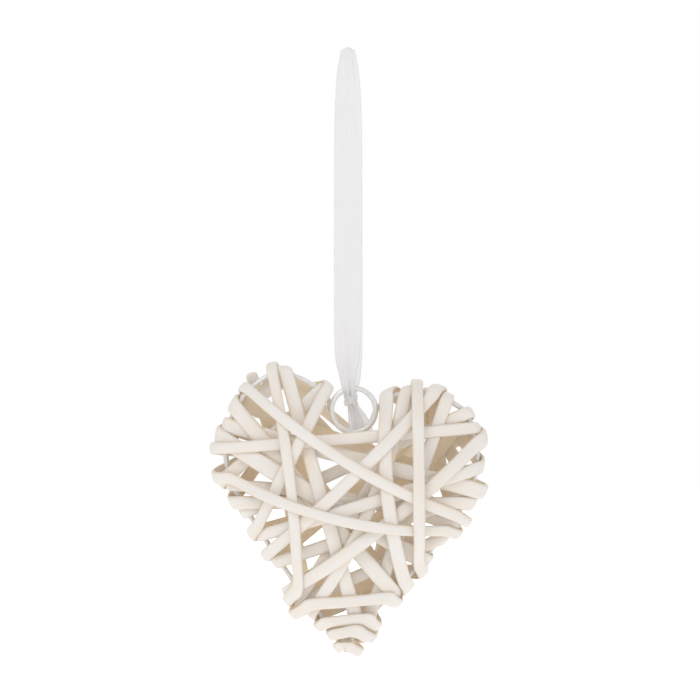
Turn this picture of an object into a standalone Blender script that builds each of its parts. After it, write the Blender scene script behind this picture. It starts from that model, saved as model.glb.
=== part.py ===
"""A wicker heart decoration: split willow wound round a wire heart, hung by a ribbon from a ring.

All sizes are millimetres until the meshes are made. X is to the right, Z is up, and the
front of the heart faces -Y. The origin is the inner top of the ribbon loop.
"""
import math

import bpy
import numpy as np

METRES = 0.001

# Sizes that drive the model
HEART_WIDTH = 92.5
HEART_HEIGHT = 100.5
WIRE_DIAMETER = 2.0
WITHY_THICKNESS = 1.1
GAP = 0.3
BULGE = 5.0
RING_DIAMETER = 18.2
RING_WIRE = 2.0
RIBBON_WIDTH = 10.0
RIBBON_THICKNESS = 0.35
LOOP_LENGTH = 122.7
TAIL_LENGTH = 13.5
LOOP_TOP_WIDTH = 5.8
HOOK_RADIUS = 0.9
KNOT_SIZE = (4.0, 6.4, 4.0)
RING_ASIDE = 2.0
STUB_LENGTH = 4.5

# The notch of the bent wire lies right behind the ring: angles in degrees, leftwards from the bottom
NOTCH_LEFT = (270.0, 226.0, 182.0)
NOTCH_RIGHT = (356.0, 314.0)

# The rest of the wire, measured from the middle of the ring on a heart of the drawn size
DRAWN_WIDTH = 96.0
DRAWN_HEIGHT = 102.0
LOBE_POINTS = (
    (-10.8, 5.4), (-20.5, 12.0), (-31.0, 13.0), (-42.4, 4.0), (-48.2, -11.8), (-45.6, -27.4),
    (-35.0, -45.3), (-19.8, -67.3), (-9.8, -78.6), (-3.6, -87.6), (2.2, -79.6), (10.2, -72.0),
    (30.8, -49.9), (44.5, -27.8), (46.4, -12.6), (40.9, 0.4), (27.8, 5.6), (16.2, 5.6),
    (11.9, 3.4),
)

# The withies in the order they are wound on: width, then each front pass as where it crosses
# the wire on the way in and out (hundredths of the wire's length from the notch, leftwards)
# and how far its middle bows to the left of its way. Then where on the wire the last back
# pass heads for, and how far it stops short of that point (below zero, it sticks out).
WITHIES = (
    ("withy_01", 4.6, ((31.6, 84.2, 0.0), (43.9, 68.1, 0.0)), 81.0, 16.0),
    ("withy_02", 4.4, ((28.1, 70.3, 2.7), (89.4, 43.2, 0.0)), 64.0, 5.0),
    ("withy_03", 4.9, ((55.9, 87.0, 0.0), (38.5, 74.1, 0.0)), 92.0, 5.0),
    ("withy_04", 4.8, ((73.2, 30.3, 0.0), (6.7, 26.8, 0.0)), 67.0, 5.0),
    ("withy_05", 5.8, ((21.0, 75.1, 0.0), (18.8, 59.9, 0.0)), 17.0, 21.0),
    ("withy_06", 6.3, ((22.8, 65.0, 0.0),), 13.0, 18.0),
    ("withy_07", 5.2, ((11.2, 54.2, 0.0),), 89.0, 27.0),
    ("withy_08", 4.7, ((45.3, 91.9, -4.1), (77.5, 34.8, 0.0)), 79.0, 29.0),
    ("withy_09", 4.4, ((23.6, 82.3, 0.0), (33.7, 6.1, 0.0)), 15.0, 5.0),
    ("withy_10", 5.0, ((42.0, 80.4, -2.2), (94.2, 61.8, -3.2)), 45.0, 5.0),
    ("withy_11", 4.6, ((36.9, 88.8, -1.2),), 45.0, 50.0),
    ("withy_12", 4.1, ((47.4, 55.7, 0.0), (49.1, 53.9, 0.0), (50.7, 51.8, 0.0)), 89.0, 55.0),
    ("withy_13", 4.0, ((42.3, 12.8, -2.0), (69.4, 27.1, 5.0)), 7.0, 14.5),
    ("withy_14", 4.2, ((16.1, 71.5, -3.9),), 22.0, 50.0),
    ("withy_15", 4.3, ((64.3, 90.5, 0.0), (59.1, 44.6, 0.0)), 15.4, -STUB_LENGTH),
)

# How the withies are laid
START_TAIL = 10.0
LEAST_TAIL = 5.0
TAIL_SHORT = 4.0
RING_STEP = 8.5
FIRST_NODE = 1.6
WIRE_CLEAR = WIRE_DIAMETER / 2 + GAP + 0.25
WRAP_ANGLES = (55.0, 18.0, -18.0, -55.0)
MOST_CREEP = 3.5
FULL_CREEP_CHORD = 60.0
LEAST_CROSSING = 0.3
BACK_BOW = 1.5
FULL_BULGE_CHORD = 80.0
BULGE_ROUNDNESS = 0.7
FOLD_SHARE = 0.8
STEEPEST_FOLD = 48.0
TANGENT_REACH = 1.5

# How far they are kept apart
SAMPLE_STEP = 1.1
EDGE_ROOM = 0.6
ALONG_ROOM = 0.9
FAN_ROOM = 0.35
MOST_LIFT = 26.0
WIRE_REACH = 2.5
OWN_APART = 14.0
SETTLE_ROUNDS = 160
LAST_ROUNDS = 12
PULL_SHARE = 0.35
LEVEL_SHARE = 0.25

# Section of a split rod, as shares of half its width and of its thickness
SHOULDER = (0.78, 0.75)
WIDTH_WAVE = 0.03
WAVE_STEP = 1.7

# How finely the round wires are made
WIRE_STEPS = 16
WIRE_SKIP = 4
WIRE_SIDES = 7
RING_TURNS = 30

# The ribbon's folds
PLEATS = 2
DEEPEST_PLEAT = 1.3
SLACK = 1.1
LEG_WIDTH = 4.5
LEG_ROOM = 0.15
TAIL_PLEAT = 0.9
KNOT_SIDES = 12
KNOT_ROWS = 5


def spline(points, steps):
    """A closed smooth curve through the points."""
    points = np.array(points, float)
    count = len(points)
    out = []
    for i in range(count):
        a, b, c, d = points[i - 1], points[i], points[(i + 1) % count], points[(i + 2) % count]
        for j in range(steps):
            t = j / steps
            out.append(
                0.5 * (2 * b + (c - a) * t + (2 * a - 5 * b + 4 * c - d) * t * t
                       + (3 * b - a - 3 * c + d) * t ** 3)
            )
    return np.array(out)


def unit(v):
    return v / np.linalg.norm(v, axis=-1, keepdims=True)


class Wire:
    """The heart outline in the X, Z plane, read by distance along it."""

    def __init__(self):
        scale = np.array([HEART_WIDTH / DRAWN_WIDTH, HEART_HEIGHT / DRAWN_HEIGHT])
        away = (RING_DIAMETER - RING_WIRE) / 2
        notch = [np.array([math.cos(a), math.sin(a)]) * away
                 for a in np.radians(NOTCH_LEFT + NOTCH_RIGHT)]
        left = len(NOTCH_LEFT)
        lobes = [np.array(p) * scale for p in LOBE_POINTS]
        self.line = spline(notch[:left] + lobes + notch[left:], WIRE_STEPS)
        step = np.linalg.norm(np.roll(self.line, -1, 0) - self.line, axis=1)
        self.along = np.concatenate([[0.0], np.cumsum(step)])
        self.length = self.along[-1]

    def at(self, u):
        """Point, tangent and outward normal at a distance along the wire."""
        closed = np.vstack([self.line, self.line[:1]])
        points = []
        for v in (u - TANGENT_REACH, u, u + TANGENT_REACH):
            v = v % self.length
            points.append(np.array([np.interp(v, self.along, closed[:, k]) for k in (0, 1)]))
        tangent = unit(points[2] - points[0])
        return points[1], tangent, np.array([tangent[1], -tangent[0]])

    def far_side(self, start, way):
        """How far a straight run from the start goes before it meets the wire again."""
        a = self.line - start
        b = np.roll(self.line, -1, 0) - self.line
        cross = way[0] * b[:, 1] - way[1] * b[:, 0]
        cross = np.where(np.abs(cross) < 1e-9, 1e-9, cross)
        run = (a[:, 0] * b[:, 1] - a[:, 1] * b[:, 0]) / cross
        on = (a[:, 0] * way[1] - a[:, 1] * way[0]) / cross
        good = (on >= 0) & (on < 1) & (run > WIRE_REACH)
        return run[good].min() if good.any() else HEART_WIDTH / 4


WIRE = Wire()
SIDE_Y = {"front": -1.0, "back": 1.0}


def reflected(way, u):
    """The way a strip runs on after it goes round the wire."""
    _, tangent, normal = WIRE.at(u)
    return np.dot(way, tangent) * tangent - np.dot(way, normal) * normal


def advance(way, u, chord):
    """How far a strip creeps along the wire while it goes round it, less after a short run."""
    _, tangent, normal = WIRE.at(u)
    slope = np.dot(way, tangent) / max(abs(np.dot(way, normal)), LEAST_CROSSING)
    creep = math.pi * (WIRE_CLEAR + WITHY_THICKNESS / 2) * slope
    most = MOST_CREEP * min(1.0, chord / FULL_CREEP_CHORD)
    return float(np.clip(creep, -most, most))


def heading(u, v):
    """Direction and length of the straight line between two places on the wire."""
    line = WIRE.at(v)[0] - WIRE.at(u)[0]
    length = np.linalg.norm(line)
    return line / length, length


def passes_of(fronts, heads_for, short):
    """Straight runs of one withy: (side, start, end, bow, distance along the wire at each end)."""
    runs = []
    for start, end, bow in fronts:
        u = start * WIRE.length / 100
        v = end * WIRE.length / 100
        runs.append((u, v, bow))
    out = []
    u, v, _ = runs[0]
    way, chord = heading(u, v)
    before = reflected(way, u)
    u_back = u - advance(way, u, chord)
    point = WIRE.at(u_back)[0]
    tail = min(START_TAIL, max(WIRE.far_side(point, -before) - TAIL_SHORT, LEAST_TAIL))
    out.append(("back", point - before * tail, point, 0.0, None, u_back))
    for i, (u, v, bow) in enumerate(runs):
        out.append(("front", WIRE.at(u)[0], WIRE.at(v)[0], bow, u, v))
        way, chord = heading(u, v)
        u_back = v + advance(way, v, chord)
        point = WIRE.at(u_back)[0]
        if i + 1 < len(runs):
            u_next, v_next, _ = runs[i + 1]
            way_next, chord = heading(u_next, v_next)
            u_end = u_next - advance(way_next, u_next, chord)
            out.append(("back", point, WIRE.at(u_end)[0], BACK_BOW, u_back, u_end))
        else:
            target = WIRE.at(heads_for * WIRE.length / 100)[0]
            after = unit(target - point)
            length = np.linalg.norm(target - point) - short
            out.append(("back", point, point + after * length, -BACK_BOW, u_back, None))
    return out


def pass_nodes(run):
    """Nodes of one pass: points on its inner face, outward directions and the wire's directions."""
    side, start, end, bow, u, v = run
    length = np.linalg.norm(end - start)
    way = (end - start) / length
    left = np.array([-way[1], way[0]])
    first = FIRST_NODE if u is not None else 0.0
    last = length - FIRST_NODE if v is not None else length
    count = max(2, int(round((last - first) / RING_STEP)) + 1)
    points = []
    bulge = WIRE_CLEAR + (BULGE - WIRE_CLEAR) * min(1.0, length / FULL_BULGE_CHORD)
    span = FULL_BULGE_CHORD if u is None else length
    for i in range(count):
        a = first + (last - first) * i / (count - 1)
        t = a / length
        plan = start + way * a + left * bow * 4 * t * (1 - t)
        if u is None:
            t = (span - (length - a)) / span
        elif v is None:
            t = min(a / span, 1.0)
        rise = max(1 - (2 * t - 1) ** 2, 0.0) ** BULGE_ROUNDNESS
        y = WIRE_CLEAR + (bulge - WIRE_CLEAR) * rise
        points.append((plan[0], SIDE_Y[side] * y, plan[1]))
    directions = [(0.0, SIDE_Y[side], 0.0)] * count
    folds = [(0.0, 0.0)] * count
    if u is not None:
        folds[0] = WIRE.at(u)[1]
    if v is not None:
        folds[-1] = WIRE.at(v)[1]
    return points, directions, folds


def wrap_nodes(side, u, v):
    """Nodes round the wire, from the end of a pass at u to the start of the next at v."""
    points = []
    directions = []
    folds = []
    for angle in WRAP_ANGLES:
        part = (90.0 - angle) / 180.0
        point, tangent, normal = WIRE.at(u + (v - u) * part)
        c = math.cos(math.radians(angle))
        s = math.sin(math.radians(angle)) * SIDE_Y[side]
        points.append((point[0] + WIRE_CLEAR * c * normal[0], WIRE_CLEAR * s,
                       point[1] + WIRE_CLEAR * c * normal[1]))
        directions.append((normal[0] * c, s, normal[1] * c))
        folds.append(tangent)
    return points, directions, folds


class Withy:
    """One split willow rod wound round the heart."""

    def __init__(self, name, width, fronts, heads_for, short):
        self.name = name
        self.width = width
        runs = passes_of(fronts, heads_for, short)
        nodes = [[], [], []]
        self.units = []
        for i, run in enumerate(runs):
            first = len(nodes[0])
            pieces = [pass_nodes(run)]
            if i + 1 < len(runs):
                pieces.append(wrap_nodes(run[0], run[5], runs[i + 1][4]))
            for piece in pieces:
                for all_rows, rows in zip(nodes, piece):
                    all_rows += list(rows)
            self.units.append((first, len(nodes[0])))
        self.base = np.array(nodes[0])
        self.normal = np.array(nodes[1])
        self.fold = np.array(nodes[2])
        self.lift = np.zeros(len(self.base))
        self.frame()

    def frame(self):
        """Tangent, width direction and outward direction at each node."""
        tangent = np.gradient(self.base, axis=0)
        tangent = unit(tangent)
        across = unit(np.cross(tangent, self.normal))
        self.tangent = tangent
        self.across = across
        self.normal = unit(np.cross(across, tangent))
        fold = np.stack([self.fold[:, 0], 0 * self.fold[:, 0], self.fold[:, 1]], axis=1)
        ahead = (fold * tangent).sum(1)
        aside = (fold * across).sum(1)
        lean = np.arctan2(ahead * np.sign(aside), np.abs(aside))
        steepest = math.radians(STEEPEST_FOLD)
        self.skew = np.tan(np.clip(FOLD_SHARE * lean, -steepest, steepest))
        step = np.linalg.norm(np.diff(self.base, axis=0), axis=1)
        self.along = np.concatenate([[0.0], np.cumsum(step)])

    def centre(self):
        return self.base + self.lift[:, None] * self.normal

    def side(self):
        """The direction from edge to edge: across the rod, but along the wire where it folds."""
        return self.across + self.skew[:, None] * self.tangent

    def samples(self, first, last):
        """Fine samples of the inner face between two nodes: index, fraction and frame."""
        index = []
        part = []
        for i in range(first, last):
            n = max(1, int(math.ceil((self.along[i + 1] - self.along[i]) / SAMPLE_STEP)))
            for j in range(n):
                index.append(i)
                part.append((j + 0.5) / n)
        index = np.array(index)
        part = np.array(part)
        return index, part

    def cloud(self, first, last):
        """Points on the outer face between two nodes, with their distance along the withy."""
        index, part = self.samples(first, last)
        centre = self.centre()
        side = self.side() * self.width / 2
        out = []
        shares = (-1.0, -SHOULDER[0], -SHOULDER[0] / 2, 0.0, SHOULDER[0] / 2, SHOULDER[0], 1.0)
        for v in shares:
            height = np.interp(abs(v), (0.0, SHOULDER[0], 1.0), (1.0, SHOULDER[1], 0.0))
            row = centre + side * v + self.normal * (height * WITHY_THICKNESS)
            out.append(row[index] * (1 - part[:, None]) + row[index + 1] * part[:, None])
        along = self.along[index] * (1 - part) + self.along[index + 1] * part
        return np.concatenate(out), np.tile(along, len(shares))

    def needed(self, index, part, cloud, reach):
        """The lift each fine sample needs to stay above the points of the cloud."""
        if not len(cloud):
            return np.zeros(len(index))
        p = part[:, None]
        base = self.base[index] * (1 - p) + self.base[index + 1] * p
        normal = self.normal[index] * (1 - p) + self.normal[index + 1] * p
        shrink = np.linalg.norm(normal, axis=1)
        normal = normal / shrink[:, None]
        across = unit(self.across[index] * (1 - p) + self.across[index + 1] * p)
        tangent = np.cross(normal, across)
        skew = self.skew[index] * (1 - part) + self.skew[index + 1] * part
        step = self.along[index + 1] - self.along[index]
        fan = np.arccos(np.clip((self.normal[index] * self.normal[index + 1]).sum(1), -1, 1))
        near = np.abs(cloud[:, None, :] - base[None, ::4, :]).max(axis=2).min(axis=1) < MOST_LIFT
        cloud = cloud[near]
        reach = reach[near]
        d = cloud[None] - base[:, None]
        high = np.einsum("kmi,ki->km", d, normal)
        aside = np.einsum("kmi,ki->km", d, across)
        along = np.abs(np.einsum("kmi,ki->km", d, tangent) - skew[:, None] * aside)
        aside = np.abs(aside)
        turn = np.abs(self.skew[index + 1] - self.skew[index]) * self.width / 2
        count = np.maximum(1, np.ceil(step / SAMPLE_STEP))
        room = ALONG_ROOM + np.maximum(high, 0) * (fan / count / 2)[:, None]
        room = room + (turn / count / 2)[:, None]
        spare = GAP + FAN_ROOM * fan[:, None]
        inside = (aside < self.width / 2 + EDGE_ROOM) & (along < room) & (high < reach[None])
        return np.maximum(np.where(inside, high + spare, 0.0).max(axis=1, initial=0.0), 0.0) / shrink

    def settle(self, first, last, index, part, needed, rounds):
        """Pull the withy taut between two nodes while it stays above what it crosses."""
        lift = self.lift
        a = np.clip(first, 1, len(lift) - 1)
        ids = np.arange(a, min(last + 1, len(lift)))
        inner = ids[ids < len(lift) - 1]
        before = self.along[inner] - self.along[inner - 1]
        after = self.along[inner + 1] - self.along[inner]
        share = (before / (before + after))[:, None]
        lower = 1 - part
        weight = lower ** 2 + part ** 2
        held = lift[:first].copy()
        for r in range(rounds):
            if r < rounds - LAST_ROUNDS:
                p = self.centre()
                mean = p[inner - 1] * (1 - share) + p[inner + 1] * share
                pull = ((mean - p[inner]) * self.normal[inner]).sum(1)
                level = lift[inner - 1] * (1 - share[:, 0]) + lift[inner + 1] * share[:, 0]
                lift[inner] += PULL_SHARE * pull + LEVEL_SHARE * (level - lift[inner])
                if last >= len(lift) - 1:
                    lift[-1] = min(lift[-1], lift[-2])
            np.maximum(lift, 0.0, out=lift)
            lack = needed - (lower * lift[index] + part * lift[index + 1])
            lack = np.maximum(lack, 0) / weight
            raise_to = lift.copy()
            np.maximum.at(raise_to, index, lift[index] + lack * lower)
            np.maximum.at(raise_to, index + 1, lift[index + 1] + lack * part)
            lift[:] = raise_to
            lift[:first] = held


def lay(withies, obstacles):
    """Wind the withies on one after another, each above all that is there already."""
    cloud = [obstacles]
    reach = [np.full(len(obstacles), WIRE_REACH)]
    for withy in withies:
        others = np.concatenate(cloud)
        limits = np.concatenate(reach)
        last = len(withy.lift) - 1
        index, part = withy.samples(0, last)
        need = withy.needed(index, part, others, limits)
        withy.settle(0, last, index, part, need, SETTLE_ROUNDS)
        own_points = np.zeros((0, 3))
        own_along = np.zeros(0)
        fixed = 0
        for first, end in withy.units:
            if len(own_points):
                mine = np.full(len(own_points), MOST_LIFT)
                for k in np.nonzero((index >= first - 1) & (index < end))[0]:
                    here = withy.along[index[k]]
                    apart = np.abs(own_along - here) > OWN_APART
                    more = withy.needed(index[k:k + 1], part[k:k + 1], own_points[apart], mine[apart])
                    need[k] = max(need[k], more[0])
                withy.settle(fixed, last, index, part, need, SETTLE_ROUNDS)
            points, along = withy.cloud(max(first - 1, 0), min(end, last))
            own_points = np.concatenate([own_points, points])
            own_along = np.concatenate([own_along, along])
            fixed = end
        cloud.append(own_points)
        reach.append(np.full(len(own_points), MOST_LIFT))


def tube(path, radius, sides, closed_path):
    """Points and faces of a round tube along a path in the X, Z plane."""
    count = len(path)
    verts = []
    for i in range(count):
        t = unit(path[(i + 1) % count] - path[i - 1])
        normal = np.array([t[1], -t[0]])
        for k in range(sides):
            a = 2 * math.pi * (k + 0.5) / sides
            out = path[i] + normal * radius * math.cos(a)
            verts.append((out[0], radius * math.sin(a), out[1]))
    faces = []
    for i in range(count if closed_path else count - 1):
        for k in range(sides):
            a = i * sides + k
            b = i * sides + (k + 1) % sides
            c = ((i + 1) % count) * sides + (k + 1) % sides
            d = ((i + 1) % count) * sides + k
            faces.append((a, b, c, d))
    return verts, faces


def section_sweep(rings):
    """Points and faces of a solid through equal rings of points, with flat ends."""
    count = len(rings)
    sides = len(rings[0])
    verts = [tuple(p) for ring in rings for p in ring]
    faces = []
    for i in range(count - 1):
        for k in range(sides):
            a = i * sides + k
            b = i * sides + (k + 1) % sides
            faces.append((a, b, b + sides, a + sides))
    faces.append(tuple(reversed(range(sides))))
    faces.append(tuple((count - 1) * sides + k for k in range(sides)))
    return verts, faces


# Colour and roughness of each finish
WILLOW = ((0.80, 0.74, 0.65), 0.75)
PAINTED_WIRE = ((0.72, 0.72, 0.72), 0.4)
SATIN = ((0.86, 0.86, 0.88), 0.45)


def material(name, finish):
    colour, roughness = finish
    made = bpy.data.materials.new(name)
    made.use_nodes = True
    made.diffuse_color = (*colour, 1.0)
    shader = made.node_tree.nodes["Principled BSDF"]
    shader.inputs["Base Color"].default_value = (*colour, 1.0)
    shader.inputs["Roughness"].default_value = roughness
    return made


def add_object(name, verts, faces, finish):
    """A closed mesh object with its own material, its faces turned outwards."""
    mesh = bpy.data.meshes.new(name)
    mesh.from_pydata([(x * METRES, y * METRES, z * METRES) for x, y, z in verts], [], faces)
    mesh.validate()
    mesh.calc_loop_triangles()
    volume = 0.0
    for tri in mesh.loop_triangles:
        a, b, c = (mesh.vertices[k].co for k in tri.vertices)
        volume += a.dot(b.cross(c))
    if volume < 0:
        mesh.flip_normals()
    mesh.update()
    made = bpy.data.objects.new(name, mesh)
    bpy.context.scene.collection.objects.link(made)
    made.data.materials.append(material(name + " finish", finish))
    return made


def withy_solid(withy, place):
    """The five-sided split rod: flat inside, domed outside."""
    centre = withy.centre() + place
    side = withy.side() * withy.width / 2
    rings = []
    a, b = SHOULDER
    profile = ((-1.0, 0.0), (1.0, 0.0), (a, b), (0.0, 1.0), (-a, b))
    for i in range(len(centre)):
        wide = 1.0 + WIDTH_WAVE * math.sin(WAVE_STEP * i)
        rings.append([
            centre[i] + side[i] * (x * wide) + withy.normal[i] * (WITHY_THICKNESS * y)
            for x, y in profile
        ])
    verts, faces = section_sweep(rings)
    add_object(withy.name, verts, faces, WILLOW)


def pleat(width):
    """Height of the soft pleats that gather the ribbon to this width."""
    squeeze = max((RIBBON_WIDTH / width) ** 2 - 1.0, 0.0)
    return width / (2 * math.pi * PLEATS) * math.sqrt(2 * squeeze)


def band(keys, steps, waves):
    """Rings of a ribbon through keys of (x, y, z, width), pleated where it is gathered."""
    line = open_spline(keys, steps)
    tangent = unit(np.gradient(line[:, :3], axis=0))
    side = np.array([1.0, 0.0, 0.0])
    count = 4 * waves + 1
    rings = []
    for point, way in zip(line, tangent):
        across = unit(side - way * np.dot(way, side))
        normal = np.cross(way, across)
        width = point[3]
        height = min(pleat(width), DEEPEST_PLEAT)
        top = []
        bottom = []
        for j in range(count):
            v = j / (count - 1)
            at = point[:3] + across * width * (v - 0.5)
            wave = height * math.sin(2 * math.pi * waves * v)
            top.append(at + normal * (wave + RIBBON_THICKNESS / 2))
            bottom.append(at + normal * (wave - RIBBON_THICKNESS / 2))
        rings.append(top + bottom[::-1])
    return rings


def open_spline(keys, steps):
    """A smooth curve through the keys, with a number of steps for each span."""
    keys = [np.array(k, float) for k in keys]
    padded = [2 * keys[0] - keys[1]] + keys + [2 * keys[-1] - keys[-2]]
    out = []
    for i in range(1, len(keys)):
        a, b, c, d = padded[i - 1:i + 3]
        n = steps[i - 1]
        for j in range(n):
            t = j / n
            out.append(
                0.5 * (2 * b + (c - a) * t + (2 * a - 5 * b + 4 * c - d) * t * t
                       + (3 * b - a - 3 * c + d) * t ** 3)
            )
    out.append(keys[-1])
    return np.array(out)


def egg(middle):
    """Points and faces of the knot, a rounded lump."""
    wide, deep, high = (size / 2 for size in KNOT_SIZE)
    verts = [(middle[0], middle[1], middle[2] - high)]
    for r in range(1, KNOT_ROWS + 1):
        a = math.pi * r / (KNOT_ROWS + 1)
        for k in range(KNOT_SIDES):
            b = 2 * math.pi * (k + 0.25) / KNOT_SIDES
            verts.append((middle[0] + wide * math.sin(a) * math.cos(b),
                          middle[1] + deep * math.sin(a) * math.sin(b),
                          middle[2] - high * math.cos(a)))
    verts.append((middle[0], middle[1], middle[2] + high))
    faces = []
    upper = 1 + (KNOT_ROWS - 1) * KNOT_SIDES
    for k in range(KNOT_SIDES):
        m = (k + 1) % KNOT_SIDES
        faces.append((0, 1 + m, 1 + k))
        for base in range(1, upper, KNOT_SIDES):
            faces.append((base + k, base + m, base + KNOT_SIDES + m, base + KNOT_SIDES + k))
        faces.append((upper + k, upper + m, len(verts) - 1))
    return verts, faces


def ribbon():
    """The ribbon loop with its knot and two tails, joined as one piece."""
    arc = -LOOP_LENGTH + RING_WIRE / 2
    top = pleat(LOOP_TOP_WIDTH) + RIBBON_THICKNESS / 2
    radius = HOOK_RADIUS + top
    centre = top - radius
    knot = (0.5, 0.0, -LOOP_LENGTH - GAP - KNOT_SIZE[2] / 2)
    leg = RING_WIRE / 2 + GAP + pleat(LEG_WIDTH) + RIBBON_THICKNESS / 2 + LEG_ROOM
    bend = math.sqrt(0.5) * radius
    keys = [
        (knot[0], -1.2, knot[2] + 0.4, 3.0),
        (0.0, -leg - 0.1, arc - 0.2, 4.3),
        (-0.3, -leg + 0.2, arc + 5.0, 6.0),
        (-0.2, -SLACK - 0.5, arc + 16.0, 9.4),
        (-0.1, -SLACK, -60.0, RIBBON_WIDTH),
        (0.0, -SLACK, -11.0, RIBBON_WIDTH - 0.3),
        (0.0, -radius, centre, LOOP_TOP_WIDTH + 0.7),
        (0.0, -bend, centre + bend, LOOP_TOP_WIDTH + 0.1),
        (0.0, 0.0, top, LOOP_TOP_WIDTH),
        (0.0, bend, centre + bend, LOOP_TOP_WIDTH + 0.1),
        (0.0, radius, centre, LOOP_TOP_WIDTH + 0.7),
        (0.1, SLACK, -11.0, RIBBON_WIDTH - 0.3),
        (0.2, SLACK, -60.0, RIBBON_WIDTH),
        (0.5, SLACK + 0.5, arc + 16.0, 9.4),
        (1.4, leg - 0.2, arc + 5.0, 6.4),
        (1.3, leg + 0.1, arc - 0.2, 4.6),
        (knot[0], 1.2, knot[2] + 0.4, 3.0),
    ]
    steps = (2, 2, 3, 3, 3, 3, 1, 1, 1, 1, 3, 3, 3, 3, 2, 2)
    verts, faces = section_sweep(band(keys, steps, PLEATS))
    pieces = [add_object("ribbon", verts, faces, SATIN)]
    low = knot[2] - TAIL_LENGTH
    behind = RING_WIRE / 2 + WIRE_DIAMETER + 2 * GAP + RIBBON_THICKNESS / 2 + TAIL_PLEAT
    tails = (
        [(knot[0] - 0.2, 0.1, knot[2], 2.4), (0.9, 2.2, knot[2] - 3.2, 4.0),
         (1.2, behind + 0.3, low + 4.5, 6.5), (1.4, behind + 0.4, low + 1.0, 7.6)],
        [(knot[0] + 0.3, -0.5, knot[2], 2.4), (2.4, -0.2, knot[2] - 2.2, 4.0),
         (5.0, behind + 0.9, low + 5.6, 6.8), (6.3, behind + 1.2, low, 8.2)],
    )
    for keys in tails:
        verts, faces = section_sweep(band(keys, (2, 3, 1), 1))
        pieces.append(add_object("ribbon_tail", verts, faces, SATIN))
    verts, faces = egg(knot)
    pieces.append(add_object("ribbon_knot", verts, faces, SATIN))
    for piece in pieces[1:]:
        join = pieces[0].modifiers.new("join", "BOOLEAN")
        join.operation = "UNION"
        join.solver = "EXACT"
        join.object = piece
        piece.hide_render = True
        piece.hide_viewport = True


def main():
    for obj in list(bpy.data.objects):
        bpy.data.objects.remove(obj, do_unlink=True)

    ring_line = RING_DIAMETER / 2 - RING_WIRE / 2
    ring_middle = -LOOP_LENGTH + RING_WIRE / 2 - ring_line
    ring_place = np.array([RING_ASIDE, 0.0, ring_middle])
    heart_place = ring_place + np.array([0.0, (RING_WIRE + WIRE_DIAMETER) / 2 + GAP, 0.0])

    withies = [Withy(*row) for row in WITHIES]
    wire_verts, _ = tube(WIRE.line, WIRE_DIAMETER / 2, WIRE_SIDES, True)
    lay(withies, np.array(wire_verts))
    for withy in withies:
        withy_solid(withy, heart_place)

    verts, faces = tube(WIRE.line[::WIRE_SKIP], WIRE_DIAMETER / 2, WIRE_SIDES, True)
    add_object("heart_wire", np.array(verts) + heart_place, faces, PAINTED_WIRE)
    turns = np.linspace(0.0, 2 * math.pi, RING_TURNS, endpoint=False)
    circle = np.stack([np.cos(turns), np.sin(turns)], axis=1) * ring_line
    verts, faces = tube(circle, RING_WIRE / 2, WIRE_SIDES, True)
    add_object("ring", np.array(verts) + ring_place, faces, PAINTED_WIRE)
    ribbon()


main()
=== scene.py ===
# %% [markdown]
# # A wicker heart on a ribbon
#
# The real thing is a small hanging decoration: willow rods, split in half and whitewashed, are
# wound round a heart bent from wire, and a white ribbon holds it by a round wire ring. Its
# solids are made in a separate model, where every rod already has its own way over and under
# the others. Here those solids are the frame, and each one gets the shape and finish that the
# eye sees. We load the frame first.

# %% Load the frame
import math

import bmesh
import bpy
import numpy as np
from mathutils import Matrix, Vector


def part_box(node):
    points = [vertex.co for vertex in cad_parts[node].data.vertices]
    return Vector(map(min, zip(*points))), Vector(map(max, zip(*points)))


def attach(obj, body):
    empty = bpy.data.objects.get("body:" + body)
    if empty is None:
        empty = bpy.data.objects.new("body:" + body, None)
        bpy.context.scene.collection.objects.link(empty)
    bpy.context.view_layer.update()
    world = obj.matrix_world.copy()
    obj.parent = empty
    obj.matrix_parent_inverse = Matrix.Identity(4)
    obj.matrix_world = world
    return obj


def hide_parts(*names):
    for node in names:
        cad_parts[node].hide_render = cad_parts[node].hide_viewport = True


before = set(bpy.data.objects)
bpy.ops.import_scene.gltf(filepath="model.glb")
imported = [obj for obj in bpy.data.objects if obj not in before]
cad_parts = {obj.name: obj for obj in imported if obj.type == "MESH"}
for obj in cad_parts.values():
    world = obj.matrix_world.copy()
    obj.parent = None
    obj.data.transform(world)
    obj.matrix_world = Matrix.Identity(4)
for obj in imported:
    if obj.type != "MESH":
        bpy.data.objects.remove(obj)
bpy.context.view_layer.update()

MM = 0.001

# %% [markdown]
# ## The camera
#
# The photograph is taken straight from the front with a long lens, so nothing converges. A
# camera that stands 1.2 m away and sees 254.5 mm across at the heart gives the same picture.

# %% Camera
VIEW_WIDTH = 254.5 * MM
VIEW_DISTANCE = 1.2
VIEW_CENTRE = (0.7 * MM, -107.95 * MM)
SENSOR = 36.0

camera_data = bpy.data.cameras.new("studio_camera")
camera_data.sensor_width = SENSOR
camera_data.lens = SENSOR * VIEW_DISTANCE / VIEW_WIDTH
camera_data.clip_start = 0.05
camera_data.clip_end = 20.0
camera = bpy.data.objects.new("studio_camera", camera_data)
camera.location = (VIEW_CENTRE[0], -VIEW_DISTANCE, VIEW_CENTRE[1])
camera.rotation_euler = (math.radians(90), 0, 0)
bpy.context.scene.collection.objects.link(camera)
bpy.context.scene.camera = camera
print("lens in mm:", round(camera_data.lens, 1))

# %% [markdown]
# ## A bench for wiring nodes
#
# Materials and Geometry Nodes are both trees of nodes. Writing each Math node by hand hides
# the formula, so a socket is wrapped in a small class whose operators add the Math nodes:
# `1 - mask * 0.5` then reads as what it is. Every other node comes from one method, which
# takes the node's type, its settings and what goes into its sockets.

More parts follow.
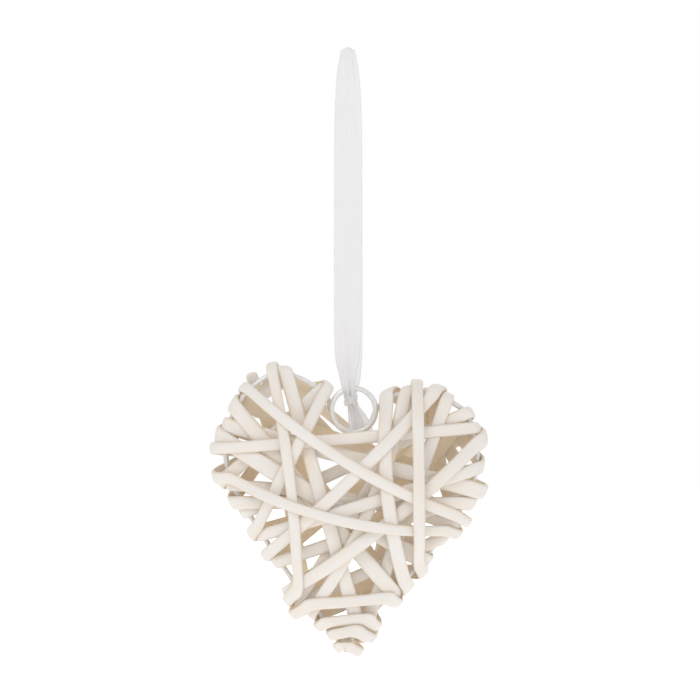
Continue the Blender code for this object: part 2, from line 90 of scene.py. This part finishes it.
# %% Bench
class Signal:
    """A socket whose sums and products add Math nodes."""

    def __init__(self, bench, socket):
        self.bench = bench
        self.socket = socket

    def maths(self, operation, *values):
        return self.bench.node("ShaderNodeMath", {"operation": operation}, dict(enumerate(values)))

    def __add__(self, other):
        return self.maths("ADD", self, other)

    def __radd__(self, other):
        return self.maths("ADD", other, self)

    def __sub__(self, other):
        return self.maths("SUBTRACT", self, other)

    def __rsub__(self, other):
        return self.maths("SUBTRACT", other, self)

    def __mul__(self, other):
        return self.maths("MULTIPLY", self, other)

    def __rmul__(self, other):
        return self.maths("MULTIPLY", other, self)

    def __truediv__(self, other):
        return self.maths("DIVIDE", self, other)

    def __pow__(self, other):
        return self.maths("POWER", self, other)

    def __abs__(self):
        return self.maths("ABSOLUTE", self)

    def sign(self):
        return self.maths("SIGN", self)

    def clamped(self):
        return self.maths("MINIMUM", self.maths("MAXIMUM", self, 0.0), 1.0)


class Bench:
    """A node tree that is being wired."""

    def __init__(self, tree):
        self.tree = tree

    def node(self, kind, settings=(), sockets=(), out=0):
        made = self.tree.nodes.new(kind)
        for name, value in dict(settings).items():
            if name == "stops":
                ramp = made.color_ramp.elements
                for i, (place, level) in enumerate(value):
                    stop = ramp[i] if i < 2 else ramp.new(place)
                    stop.position = place
                    stop.color = (level, level, level, 1.0)
            else:
                setattr(made, name, value)
        for name, value in dict(sockets).items():
            if isinstance(value, Signal):
                self.tree.links.new(value.socket, made.inputs[name])
            else:
                made.inputs[name].default_value = value
        return Signal(self, made.outputs[out])

    def ramp(self, value, *stops):
        return self.node("ShaderNodeValToRGB", {"stops": stops}, {0: value})

    def noise(self, vector, scale, detail=3.0, roughness=0.5):
        sockets = {"Vector": vector, "Scale": scale, "Detail": detail, "Roughness": roughness}
        return self.node("ShaderNodeTexNoise", {}, sockets)

    def vector(self, x, y, z):
        return self.node("ShaderNodeCombineXYZ", {}, {0: x, 1: y, 2: z})

    def parts(self, vector):
        first = self.node("ShaderNodeSeparateXYZ", {}, {0: vector})
        return [Signal(self, socket) for socket in first.socket.node.outputs]

    def blend(self, factor, a, b):
        return self.node("ShaderNodeMix", {"data_type": "RGBA"}, {0: factor, 6: a, 7: b}, out=2)


print("operators:", [name for name in vars(Signal) if name.startswith("__")][2:])

# %% [markdown]
# ## Whitewashed willow
#
# A split rod has two faces. The round outside is painted with thin white wash, which dries
# patchy and lets the straw colour through along the grain, and it is rubbed off the sharp
# edges. The tan along the edges is partly that worn wash and partly painted warm shade, where
# the rods meet and shade each other. The flat inside, where the rod was split, took little
# paint and stays tan. The rods carry three numbers for this: how far along the rod a point is,
# how far across, and which rod it is. The grain follows the first two, and the third shifts
# the pattern so that no two rods match.

# %% Willow finish
def new_finish(name):
    """An empty material: its bench, its shader node and itself."""
    made = bpy.data.materials.new(name)
    made.use_nodes = True
    return Bench(made.node_tree), made.node_tree.nodes["Principled BSDF"], made


def wire_up(bench, shader, **sockets):
    """Set or link the shader's sockets, which are named with _ for a space."""
    for name, value in sockets.items():
        target = shader.inputs[name.replace("_", " ")]
        if isinstance(value, Signal):
            bench.tree.links.new(value.socket, target)
        else:
            target.default_value = value


PAINT = (0.91, 0.89, 0.865, 1.0)
THIN_PAINT = (0.94, 0.82, 0.69, 1.0)
BARE_WOOD = (1.0, 0.84, 0.62, 1.0)
# Edge colour: the tan of worn wash, and also painted warm shade where the rods meet.
EDGE_WOOD_AND_SHADE = (0.82, 0.70, 0.53, 1.0)

bench, shader, willow_finish = new_finish("whitewashed_willow")
run = bench.node("ShaderNodeAttribute", {"attribute_name": "run"}, out=1)
flat_side = bench.node("ShaderNodeAttribute", {"attribute_name": "flat_side"}, out=2)
along, across, rod = bench.parts(run)


def grain(per_metre, across_rod, shift, detail):
    place = bench.vector(along * per_metre, across * across_rod, rod * shift)
    return bench.noise(place, 1.0, detail, 0.6)


fibres = grain(60.0, 9.0, 7.3, 4.0)
patches = grain(45.0, 0.9, 3.1, 3.0)
thin = bench.ramp(patches * 0.65 + fibres * 0.35, (0.46, 0.0), (0.72, 1.0))
bare = bench.ramp(flat_side * 0.6 + patches * 0.7 + fibres * 0.25 - 0.4, (0.15, 0.0), (0.75, 1.0))
# Mask along both edges of each rod: worn wash there, and painted warm shade between the rods.
edge_wear_and_shade = bench.ramp(abs(across) + patches * 0.25, (0.94, 0.0), (1.1, 1.0))
colour = bench.blend(thin * 0.8 + 0.08, PAINT, THIN_PAINT)
colour = bench.blend(edge_wear_and_shade * 0.4, colour, EDGE_WOOD_AND_SHADE)
colour = bench.blend(bare * 0.72, colour, BARE_WOOD)
bump = bench.node("ShaderNodeBump", {}, {"Strength": 0.35, "Distance": 0.0002,
                                         "Height": fibres * 0.7 + patches * 0.3})
wire_up(bench, shader, Base_Color=colour, Roughness=fibres * 0.2 + 0.55, Normal=bump)
print(willow_finish.name, "has", len(willow_finish.node_tree.nodes), "nodes")

# %% [markdown]
# ## Reading a rod's way from its solid
#
# The solids are swept through rings of five corners: two inner corners, two shoulders and a
# crown. The frame stores them as loose triangles. On a copy whose doubled points are merged,
# we find a flat end and step from ring to ring, since each ring's corners touch only the next
# ring's. A ring then says where the rod is, how wide it is and which way it faces.

# %% Walk the rings
WELD = 2e-6
CORNERS = 5
LEVEL = 0.9999
FIRST_SIDE = (1.0, 0.1, 0.01)


def merged_solid(node):
    solid = bmesh.new()
    solid.from_mesh(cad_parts[node].data)
    bmesh.ops.remove_doubles(solid, verts=solid.verts, dist=WELD)
    return solid


def walk(first):
    """Rings of corners from an end ring on, or None where a ring has another count."""
    rings = [first]
    seen = set(first)
    while True:
        reached = {e.other_vert(v) for v in rings[-1] for e in v.link_edges} - seen
        if not reached:
            return rings
        if len(reached) != CORNERS:
            return None
        rings.append(list(reached))
        seen |= reached


def rod_rings(node):
    """The rod's rings as points, one row of corners for each."""
    solid = merged_solid(node)
    for face in solid.faces:
        level = {f for e in face.edges for f in e.link_faces if f.normal.dot(face.normal) > LEVEL}
        corners = {v for f in level for v in f.verts}
        if len(level) != CORNERS - 2 or len(corners) != CORNERS:
            continue
        rings = walk(list(corners))
        if rings and len(rings) * CORNERS == len(solid.verts):
            points = np.array([[v.co[:] for v in ring] for ring in rings])
            solid.free()
            return points
    raise ValueError("no flat end on " + node)


def rod_frame(points):
    """Middle, half width towards one side and outward thickness of each ring."""
    middles, sides, crowns = [], [], []
    for ring in points:
        apart = np.linalg.norm(ring[:, None] - ring[None], axis=2)
        a, b = np.unravel_index(apart.argmax(), apart.shape)
        middle = (ring[a] + ring[b]) / 2
        side = (ring[b] - ring[a]) / 2
        if np.dot(side, sides[-1] if sides else FIRST_SIDE) < 0:
            side = -side
        off = ring - middle
        off = off - np.outer(off @ side / (side @ side), side)
        crown = off[np.linalg.norm(off, axis=1).argmax()]
        middles.append(middle)
        sides.append(side)
        crowns.append(crown)
    return np.array(middles), np.array(sides), np.array(crowns)


rod_names = sorted(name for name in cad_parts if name.startswith("withy"))
rods = {name: rod_frame(rod_rings(name)) for name in rod_names}
print("rods:", len(rods), "rings:", sum(len(rod[0]) for rod in rods.values()))

# %% [markdown]
# ## A smooth way through the rings
#
# The solid's rings stand about 8 mm apart, and a real rod bends smoothly. A curve through all
# the rings, cut into steps of under a millimetre, gives that. The same curve is used for the
# side and outward directions, so the rod twists as smoothly as it bends.

# %% Smooth the way
STEP = 0.8 * MM


def smooth(rows, closed=False):
    """A curve through the rows, cut into even steps by the distance of the first three numbers."""
    n = len(rows)
    if closed:
        padded = np.vstack([rows[-1:], rows, rows[:2]])
    else:
        padded = np.vstack([2 * rows[:1] - rows[1:2], rows, 2 * rows[-1:] - rows[-2:-1]])
    out = []
    for i in range(1, n + 1 if closed else n):
        a, b, c, d = padded[i - 1:i + 3]
        span = np.linalg.norm((c - b)[:3])
        t = np.linspace(0, 1, max(2, int(round(span / STEP)) + 1))[:-1, None]
        out.append(0.5 * (2 * b + (c - a) * t + (2 * a - 5 * b + 4 * c - d) * t ** 2
                          + (3 * b - a - 3 * c + d) * t ** 3))
    if not closed:
        out.append(rows[-1:])
    return np.vstack(out)


def along_of(points):
    return np.concatenate([[0.0], np.cumsum(np.linalg.norm(np.diff(points, axis=0), axis=1))])


total = sum(along_of(middles)[-1] for middles, _, _ in rods.values())
print("willow in the heart:", round(total, 2), "m")

# %% [markdown]
# ## One tree that sweeps a rod or a wire
#
# Every rod and the wires have the same rule: a round section follows a path, and its shape is
# scaled in two directions that change along the way. That is a job for Geometry Nodes. The
# path is a line of points that carry their middle, side and outward vectors. Curve to Mesh
# joins a circle along it, and Set Position then puts each point where the vectors say: the
# outer half is domed and the inner half is nearly flat for a split rod, or just as deep for a
# wire. A slow noise makes the rods a little uneven, as grown wood is.

# %% Sweep tree
def sweep_tree():
    tree = bpy.data.node_groups.new("rod_along_path", "GeometryNodeTree")
    tree.interface.new_socket("Geometry", in_out="INPUT", socket_type="NodeSocketGeometry")
    tree.interface.new_socket("Geometry", in_out="OUTPUT", socket_type="NodeSocketGeometry")
    for name, kind in (("Sides", "Int"), ("Back depth", "Float"), ("Squareness", "Float"),
                       ("Unevenness", "Float"), ("Rod number", "Float"), ("Finish", "Material")):
        tree.interface.new_socket(name, in_out="INPUT", socket_type="NodeSocket" + kind)
    bench = Bench(tree)
    given = tree.nodes.new("NodeGroupInput").outputs
    want = {socket.name: Signal(bench, socket) for socket in given if socket.name}

    def named(name, kind):
        return bench.node("GeometryNodeInputNamedAttribute", {"data_type": kind}, {"Name": name})

    def store(geometry, name, kind, value):
        return bench.node("GeometryNodeStoreNamedAttribute", {"data_type": kind, "domain": "POINT"},
                          {"Geometry": geometry, "Name": name, "Value": value})

    def vector_maths(operation, *values, out=0):
        return bench.node("ShaderNodeVectorMath", {"operation": operation},
                          dict(enumerate(values)), out)

    def scaled(vector, factor):
        return bench.node("ShaderNodeVectorMath", {"operation": "SCALE"},
                          {"Vector": vector, "Scale": factor})

    way = bench.node("GeometryNodeMeshToCurve", {}, {"Mesh": want["Geometry"]})
    circle = bench.node("GeometryNodeCurvePrimitiveCircle", {},
                        {"Resolution": want["Sides"], "Radius": MM})
    turn = bench.node("GeometryNodeSplineParameter")
    circle = store(circle, "turn", "FLOAT", turn)
    rod = bench.node("GeometryNodeCurveToMesh", {},
                     {"Curve": way, "Profile Curve": circle, "Fill Caps": True})
    angle = named("turn", "FLOAT") * (2 * math.pi)
    c = angle.maths("COSINE", angle)
    s = angle.maths("SINE", angle)
    x = c.sign() * abs(c) ** want["Squareness"]
    up = s.maths("GREATER_THAN", s, 0.0)
    y = s.sign() * abs(s) ** want["Squareness"] * (up + (1 - up) * want["Back depth"])
    length = named("length", "FLOAT")

    def bumps(per_metre, around, shift):
        place = (length * per_metre, c * around, s * around + want["Rod number"] * shift)
        return bench.noise(bench.vector(*place), 1.0)

    lumps = bumps(70.0, 0.7, 5.7)
    ridges = bumps(14.0, 2.6, 3.3)
    wide = 1 + (lumps - 0.5) * want["Unevenness"] * 0.8
    deep = 1 + (lumps + ridges - 1) * want["Unevenness"] * 2.2
    place = vector_maths("ADD", named("middle", "FLOAT_VECTOR"),
                         scaled(named("side", "FLOAT_VECTOR"), x * wide))
    place = vector_maths("ADD", place, scaled(named("outward", "FLOAT_VECTOR"), y * deep))
    rod = store(rod, "run", "FLOAT_VECTOR", bench.vector(length, x, want["Rod number"]))
    rod = store(rod, "flat_side", "FLOAT", (1 - (s * 3 + 1).clamped()) * named("split", "FLOAT"))
    rod = bench.node("GeometryNodeSetPosition", {}, {"Geometry": rod, "Position": place})
    neighbours = bench.node("GeometryNodeInputMeshFaceNeighbors")
    not_a_cap = neighbours.maths("LESS_THAN", neighbours, 4.5)
    rod = bench.node("GeometryNodeSetShadeSmooth", {"domain": "FACE"},
                     {"Geometry": rod, "Shade Smooth": not_a_cap})
    rod = bench.node("GeometryNodeRealizeInstances", {}, {"Geometry": rod})
    rod = bench.node("GeometryNodeSetMaterial", {}, {"Geometry": rod, "Material": want["Finish"]})
    last = tree.nodes.new("NodeGroupOutput")
    tree.links.new(rod.socket, last.inputs[0])
    return tree


SWEEP = sweep_tree()
print("sweep tree:", len(SWEEP.nodes), "nodes")

# %% [markdown]
# The next helper turns a path into a finished plain mesh: it stores the vectors on a line of
# points, gives the line the tree with its inputs, reads the result and drops the modifier.

# %% Sweep helper
def swept(name, middles, sides, outwards, finish, closed=False, split=None, **inputs):
    """A plain mesh object swept along the path. Where split is 1 its inside is bare wood."""
    count = len(middles)
    edges = [(i, i + 1) for i in range(count - 1)] + ([(count - 1, 0)] if closed else [])
    line = bpy.data.meshes.new(name + "_way")
    line.from_pydata([tuple(p) for p in middles], edges, [])
    for key, rows in (("middle", middles), ("side", sides), ("outward", outwards)):
        line.attributes.new(key, "FLOAT_VECTOR", "POINT").data.foreach_set(
            "vector", np.asarray(rows, np.float32).ravel())
    split = np.zeros(count) if split is None else split
    for key, values in (("length", along_of(middles)), ("split", split)):
        line.attributes.new(key, "FLOAT", "POINT").data.foreach_set(
            "value", values.astype(np.float32))
    guide = bpy.data.objects.new(name + "_way", line)
    bpy.context.scene.collection.objects.link(guide)
    modifier = guide.modifiers.new("sweep", "NODES")
    modifier.node_group = SWEEP
    given = {**inputs, "Finish": finish}
    for socket in SWEEP.interface.items_tree:
        if socket.in_out == "INPUT" and socket.name in given:
            modifier[socket.identifier] = given[socket.name]
    graph = bpy.context.evaluated_depsgraph_get()
    mesh = bpy.data.meshes.new_from_object(guide.evaluated_get(graph), depsgraph=graph)
    for key in ("middle", "side", "outward", "turn", "length", "split"):
        if key in mesh.attributes:
            mesh.attributes.remove(mesh.attributes[key])
    bpy.data.objects.remove(guide)
    face_outwards(mesh)
    mesh.name = name
    piece = bpy.data.objects.new(name, mesh)
    bpy.context.scene.collection.objects.link(piece)
    return piece


def face_outwards(mesh):
    """Turn every face outwards if the closed mesh is inside out."""
    work = bmesh.new()
    work.from_mesh(mesh)
    if work.calc_volume(signed=True) < 0:
        bmesh.ops.reverse_faces(work, faces=work.faces)
        work.to_mesh(mesh)
    work.free()


def triangles(piece):
    return sum(len(face.vertices) - 2 for face in piece.data.polygons)


print("ready to sweep", len(rods), "rods")

# %% [markdown]
# ## The rods
#
# A split rod is flat inside and domed outside. The solid's flat inner side is kept, and the
# dome stands a fifth of a millimetre prouder than the faceted one, so that rods which cross
# nearly touch, as they do on the heart. Where a rod was cut off its end is a little rounded,
# and the wash was brushed over the cut, so the last millimetres have no bare side.

# %% Rods
DOME = 1.18
ROUNDED_END = 1.6 * MM
ROUNDED_TO = 0.55
PAINTED_END = 6.0 * MM
ROD_INPUTS = {"Sides": 20, "Back depth": 0.12, "Squareness": 0.7, "Unevenness": 0.13}

for number, (name, (middles, sides, crowns)) in enumerate(rods.items()):
    rows = smooth(np.hstack([middles, sides, crowns * DOME]))
    length = along_of(rows[:, :3])
    from_end = np.minimum(length, length[-1] - length)
    left_over = np.clip(1 - from_end / ROUNDED_END, 0, 1)
    rows[:, 3:] *= (ROUNDED_TO + (1 - ROUNDED_TO) * np.sqrt(1 - left_over ** 2))[:, None]
    piece = swept(name.replace("withy", "willow_rod"), rows[:, :3], rows[:, 3:6], rows[:, 6:],
                  willow_finish, split=np.clip(from_end / PAINTED_END * 2 - 1, 0, 1),
                  **{**ROD_INPUTS, "Rod number": float(number)})
    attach(piece, "root")
    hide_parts(name)
    print(piece.name, triangles(piece), "triangles")

# %% [markdown]
# ## The wire's coating
#
# The heart is bent from one length of light grey wire, which shows between the rods at the
# top. The ring is a closed hoop of the same wire, and the notch of the heart follows it right
# behind, so that from the front only the ring shows. The wire is coated and has a soft shine.

# %% Wire finish
bench, shader, wire_finish = new_finish("coated_wire")
place = bench.node("ShaderNodeTexCoord", out=3)
specks = bench.noise(place, 900.0, 3.0)
cloudy = bench.noise(place, 110.0, 2.0)
colour = bench.blend(bench.ramp(cloudy, (0.35, 0.0), (0.7, 1.0)) * 0.5,
                     (0.90, 0.90, 0.90, 1.0), (0.76, 0.77, 0.78, 1.0))
bump = bench.node("ShaderNodeBump", {}, {"Strength": 0.2, "Distance": 0.0001, "Height": specks})
wire_up(bench, shader, Base_Color=colour, Metallic=0.35, Roughness=cloudy * 0.25 + 0.2, Normal=bump)
print(wire_finish.name)

# %% [markdown]
# ## The bent wire and its ring
#
# The heart's outline is drawn as points beside the ring, and the notch follows the ring by
# angles round its middle: these are the bends that the solid has too. Both wires are swept with
# the tree of the rods, with the back as deep as the front, so the section is round.

# %% Heart wire and ring
NOTCH_ANGLES = ((270.0, 226.0, 182.0), (356.0, 314.0))
NOTCH_AWAY = 8.1
HEART_SIZE = (92.5, 100.5)
DRAWN_SIZE = (96.0, 102.0)
DRAWN_SCALE = (HEART_SIZE[0] / DRAWN_SIZE[0], HEART_SIZE[1] / DRAWN_SIZE[1])
LOBE_POINTS = (
    (-10.8, 5.4), (-20.5, 12.0), (-31.0, 13.0), (-42.4, 4.0), (-48.2, -11.8), (-45.6, -27.4),
    (-35.0, -45.3), (-19.8, -67.3), (-9.8, -78.6), (-3.6, -87.6), (2.2, -79.6), (10.2, -72.0),
    (30.8, -49.9), (44.5, -27.8), (46.4, -12.6), (40.9, 0.4), (27.8, 5.6), (16.2, 5.6),
    (11.9, 3.4),
)
HOOP_POINTS = 120
ROUND = {"Back depth": 1.0, "Squareness": 1.0}


def hoop_frame(points, radius):
    """Side and outward vectors of a round wire that is bent in the X, Z plane."""
    ahead = np.roll(points, -1, 0) - np.roll(points, 1, 0)
    ahead /= np.linalg.norm(ahead, axis=1, keepdims=True)
    side = np.stack([ahead[:, 2], np.zeros(len(ahead)), -ahead[:, 0]], axis=1) * radius
    return side, np.tile((0.0, -radius, 0.0), (len(points), 1))


def centre_of(node):
    low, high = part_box(node)
    return (low + high) / 2, high - low


ring_middle, ring_size = centre_of("ring")
wire_middle, wire_size = centre_of("heart_wire")
wire_radius = wire_size.y / 2
left, right = ([(NOTCH_AWAY * math.cos(a), 0.0, NOTCH_AWAY * math.sin(a))
                for a in np.radians(angles)] for angles in NOTCH_ANGLES)
lobes = [(x * DRAWN_SCALE[0], 0.0, z * DRAWN_SCALE[1]) for x, z in LOBE_POINTS]
bends = smooth(np.array(left + lobes + right) * MM, closed=True)
bends += np.array((ring_middle.x, wire_middle.y, ring_middle.z))
heart_wire = swept("bent_wire", bends, *hoop_frame(bends, wire_radius), wire_finish, closed=True,
                   **{**ROUND, "Sides": 16, "Unevenness": 0.02, "Rod number": 20.0})
ring_radius = ring_size.y / 2
turns = np.linspace(0, 2 * math.pi, HOOP_POINTS, endpoint=False)
hoop = np.stack([np.cos(turns), 0 * turns, np.sin(turns)], 1) * (ring_size.x / 2 - ring_radius)
hoop += np.array(ring_middle)
hang_ring = swept("hanging_ring", hoop, *hoop_frame(hoop, ring_radius), wire_finish, closed=True,
                  **{**ROUND, "Sides": 20, "Unevenness": 0.0, "Rod number": 21.0})
for piece, node, slot in ((heart_wire, "heart_wire", "wire"), (hang_ring, "ring", "ring")):
    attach(piece, "root")
    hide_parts(node)
    print(piece.name, triangles(piece), "triangles")

# %% [markdown]
# ## The ribbon's satin
#
# A 10 mm satin ribbon goes up from the ring, over whatever it hangs on, and down again. Satin
# this thin lets light through, so its shader is mixed with a translucent one, and its threads
# are a fine sine across the way.

# %% Ribbon finish
SHEERNESS = 0.45

bench, shader, ribbon_finish = new_finish("white_satin")
cloth = bench.node("ShaderNodeAttribute", {"attribute_name": "cloth"}, out=1)
across_way, along_way, _ = bench.parts(cloth)
weft = bench.node("ShaderNodeMath", {"operation": "SINE"}, {0: along_way * 26000.0})
edge = bench.ramp(abs(across_way), (0.86, 0.0), (0.93, 1.0))
soft = bench.noise(bench.vector(across_way * 2.0, along_way * 90.0, 0.0), 1.0)
colour = bench.blend(soft * 0.5 + edge * 0.3, (0.98, 0.98, 0.985, 1.0), (0.93, 0.93, 0.945, 1.0))
bump = bench.node("ShaderNodeBump", {}, {"Strength": 0.15, "Distance": 0.00003,
                                         "Height": weft * 0.3 + edge * 0.8 + soft})
wire_up(bench, shader, Base_Color=colour, Roughness=soft * 0.2 + 0.35, Normal=bump,
        Sheen_Weight=0.3, Alpha=0.5)
glowing = bench.node("ShaderNodeBsdfTranslucent", {}, {"Color": (0.96, 0.96, 0.97, 1.0)})
satin = Signal(bench, shader.outputs[0])
thin_cloth = bench.node("ShaderNodeMixShader", {}, {0: SHEERNESS, 1: satin, 2: glowing})
bench.tree.links.new(thin_cloth.socket, bench.tree.nodes["Material Output"].inputs["Surface"])
print(ribbon_finish.name)

# %% [markdown]
# ## The ribbon
#
# The ribbon is gathered at the knot, where deep pleats show, and at the top, where it arches
# and its pleats are fine. Between them it is flat. It is one sheet along the same way as the
# solid's, through keys of place, width, arch and deepest fold in mm. The fold is as deep as a
# 10 mm ribbon needs to fit into the width, up to the deepest one.

# %% Ribbon
RIBBON_WIDTH = 10.0
RIBBON_THICKNESS = 0.22
PLEATS = 2
TOP_PLEATS = 4
FLAT_FROM = -60.0
KEYS = (
    (3.6, 4.9, -142.0, 7.0, 0.0, 0.45), (3.2, 4.7, -136.5, 5.8, 0.0, 0.45),
    (1.5, 1.0, -128.8, 3.2, 0.0, 0.7), (0.5, -1.2, -124.8, 3.0, 0.0, 0.8),
    (0.1, -2.8, -121.9, 4.3, 0.0, 0.8), (-0.2, -2.5, -116.7, 6.0, 0.0, 0.8),
    (-0.2, -1.6, -105.7, 9.4, 0.0, 0.8), (-0.1, -1.1, -60.0, 10.0, 0.0, 0.8),
    (0.0, -1.1, -28.0, 9.9, 0.0, 0.14), (0.0, -1.2, -15.0, 9.0, 0.3, 0.14),
    (0.0, -1.6, -6.5, 7.8, 0.6, 0.14), (0.0, -1.9, -1.4, 6.0, 0.9, 0.14),
    (0.0, -1.3, 0.9, 5.2, 0.7, 0.14), (0.0, 0.0, 1.6, 4.8, 0.55, 0.14),
    (0.0, 1.3, 0.9, 5.2, 0.7, 0.14), (0.0, 1.9, -1.4, 6.0, 0.9, 0.14),
    (0.0, 1.6, -6.5, 7.8, 0.6, 0.14), (0.1, 1.2, -15.0, 9.0, 0.3, 0.14),
    (0.1, 1.1, -28.0, 9.9, 0.0, 0.14), (0.2, 1.1, -60.0, 10.0, 0.0, 0.8),
    (0.5, 1.6, -105.7, 9.4, 0.0, 0.8), (1.4, 2.5, -116.7, 6.4, 0.0, 0.8),
    (1.3, 2.8, -121.9, 4.6, 0.0, 0.8), (1.2, 1.4, -124.8, 3.0, 0.0, 0.8),
    (2.0, 2.6, -128.4, 3.4, 0.0, 0.6), (5.0, 6.2, -135.8, 7.0, 0.0, 0.45),
    (5.0, 6.6, -142.0, 7.8, 0.0, 0.45),
)
ACROSS = 32

way = smooth(np.array(KEYS) * MM) / MM
tangent = np.gradient(way[:, :3], axis=0)
tangent /= np.linalg.norm(tangent, axis=1, keepdims=True)
side = np.array([1.0, 0.0, 0.0]) - tangent * tangent[:, :1]
side /= np.linalg.norm(side, axis=1, keepdims=True)
front = np.cross(tangent, side)
share = np.linspace(-0.5, 0.5, ACROSS + 1)[None]
width, arch, deepest = way[:, 3:4], way[:, 4:5], way[:, 5:6]
pleats = np.where(way[:, 2:3] > FLAT_FROM, TOP_PLEATS, PLEATS)
spare = np.maximum((RIBBON_WIDTH / width) ** 2 - 1 - (2 * math.pi * arch / width) ** 2 / 2, 0)
fold = np.minimum(width / (2 * math.pi * pleats) * np.sqrt(2 * spare), deepest)
height = fold * np.sin(2 * math.pi * pleats * share) - arch * np.cos(2 * math.pi * share)
grid = (way[:, None, :3] + side[:, None] * (width * share)[..., None]
        + front[:, None] * height[..., None])
rows, columns = grid.shape[:2]
faces = [(i * columns + j, i * columns + j + 1, (i + 1) * columns + j + 1, (i + 1) * columns + j)
         for i in range(rows - 1) for j in range(columns - 1)]
mesh = bpy.data.meshes.new("satin_ribbon")
mesh.from_pydata((grid.reshape(-1, 3) * MM).tolist(), [], faces)
run_length = along_of(way[:, :3]) * MM
cloth_at = np.zeros((rows, columns, 3), np.float32)
cloth_at[..., 0] = share * 2
cloth_at[..., 1] = run_length[:, None]
mesh.attributes.new("cloth", "FLOAT_VECTOR", "POINT").data.foreach_set("vector", cloth_at.ravel())
mesh.polygons.foreach_set("use_smooth", [True] * len(mesh.polygons))
ribbon = bpy.data.objects.new("satin_ribbon", mesh)
bpy.context.scene.collection.objects.link(ribbon)
mesh.materials.append(ribbon_finish)
wall = ribbon.modifiers.new("cloth", "SOLIDIFY")
wall.thickness = RIBBON_THICKNESS * MM
wall.offset = 0.0
print("ribbon length in mm:", round(run_length[-1] / MM, 1))

# %% [markdown]
# ## The knot
#
# Where the two legs meet under the ring they are knotted: two soft turns of the same ribbon
# cross each other round the gathered throat. Each is a flat hoop, tilted, with a section that
# is high along the throat and thin across it, swept with the tree of the rods. A turn is
# given by its tilt and by half its width, depth and height.

# %% Knot
KNOT_MIDDLE = np.array((1.0, 0.2, -126.1)) * MM
KNOT_TURNS = ((24.0, 1.9, 2.7, 1.5), (-38.0, 2.1, 2.9, 1.1))
KNOT_PUFF = 0.55 * MM

around = np.linspace(0, 2 * math.pi, 64, endpoint=False)
knots = []
for number, (tilt, half_wide, half_deep, half_high) in enumerate(KNOT_TURNS):
    lean = math.tan(math.radians(tilt))
    x = half_wide * np.cos(around) * MM
    outward = np.stack([np.cos(around), np.sin(around), 0 * around], 1)
    hoop = np.stack([x, half_deep * np.sin(around) * MM, x * lean], 1) + KNOT_MIDDLE
    upright = np.tile((0.0, 0.0, half_high * MM), (len(hoop), 1))
    knot = swept("satin_knot_" + str(number + 1), hoop, upright, outward * KNOT_PUFF, ribbon_finish,
                 closed=True, **{"Sides": 16, "Back depth": 0.8, "Squareness": 0.8,
                                 "Unevenness": 0.3, "Rod number": 30.0 + number})
    knots.append(knot)
for piece in (ribbon, *knots):
    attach(piece, "root")
    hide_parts("ribbon")
print("knot:", [triangles(knot) for knot in knots], "triangles")

# %% [markdown]
# ## Floor and light
#
# The photograph has a pure white background and light from all sides, a little stronger from
# above and in front, and its shade is warm. A pale warm world gives the even light and shows
# white to the camera, and large soft lamps give the rods their form. The floor lies well below
# the heart and is as bright as the world, so no horizon shows.

# %% Stage
floor_mesh = bpy.data.meshes.new("floor")
FLOOR_Z = -0.42
REACH = 6.0
floor_mesh.from_pydata([(-REACH, -REACH, FLOOR_Z), (REACH, -REACH, FLOOR_Z),
                        (REACH, REACH, FLOOR_Z), (-REACH, REACH, FLOOR_Z)], [], [(0, 1, 2, 3)])
floor = bpy.data.objects.new("floor", floor_mesh)
bpy.context.scene.collection.objects.link(floor)
bench, shader, floor_finish = new_finish("pale_floor")
seen = bench.node("ShaderNodeLightPath")
glow = bench.blend(seen, (0.3, 0.3, 0.3, 1.0), (1.0, 1.0, 1.0, 1.0))
wire_up(bench, shader, Base_Color=(0.9, 0.9, 0.9, 1.0), Roughness=0.9,
        Emission_Color=glow, Emission_Strength=1.0)
floor_mesh.materials.append(floor_finish)

world = bpy.data.worlds.new("studio")
world.use_nodes = True
bpy.context.scene.world = world
bench = Bench(world.node_tree)
light_path = bench.node("ShaderNodeLightPath")
backdrop = world.node_tree.nodes["Background"]
tint = bench.blend(light_path, (1.0, 0.98, 0.955, 1.0), (1.0, 1.0, 1.0, 1.0))
world.node_tree.links.new(tint.socket, backdrop.inputs["Color"])
AMBIENT = 0.68
strength = light_path * (1 - AMBIENT) + AMBIENT
world.node_tree.links.new(strength.socket, backdrop.inputs["Strength"])
HEART_Z = -0.16


def lamp(name, place, size, power):
    data = bpy.data.lights.new(name, "AREA")
    data.shape = "DISK"
    data.size = size
    data.energy = power
    made = bpy.data.objects.new(name, data)
    made.location = place
    aim = Vector((0.0, 0.0, HEART_Z)) - Vector(place)
    made.rotation_euler = aim.to_track_quat("-Z", "Y").to_euler()
    bpy.context.scene.collection.objects.link(made)


lamp("key", (-0.5, -0.9, 0.75), 0.5, 2.3)
lamp("fill", (0.9, -0.8, 0.1), 0.9, 0.5)
lamp("back", (0.2, 1.2, 0.6), 0.9, 4.0)
bpy.context.scene.view_settings.view_transform = "Standard"

# %% [markdown]
# ## Finish
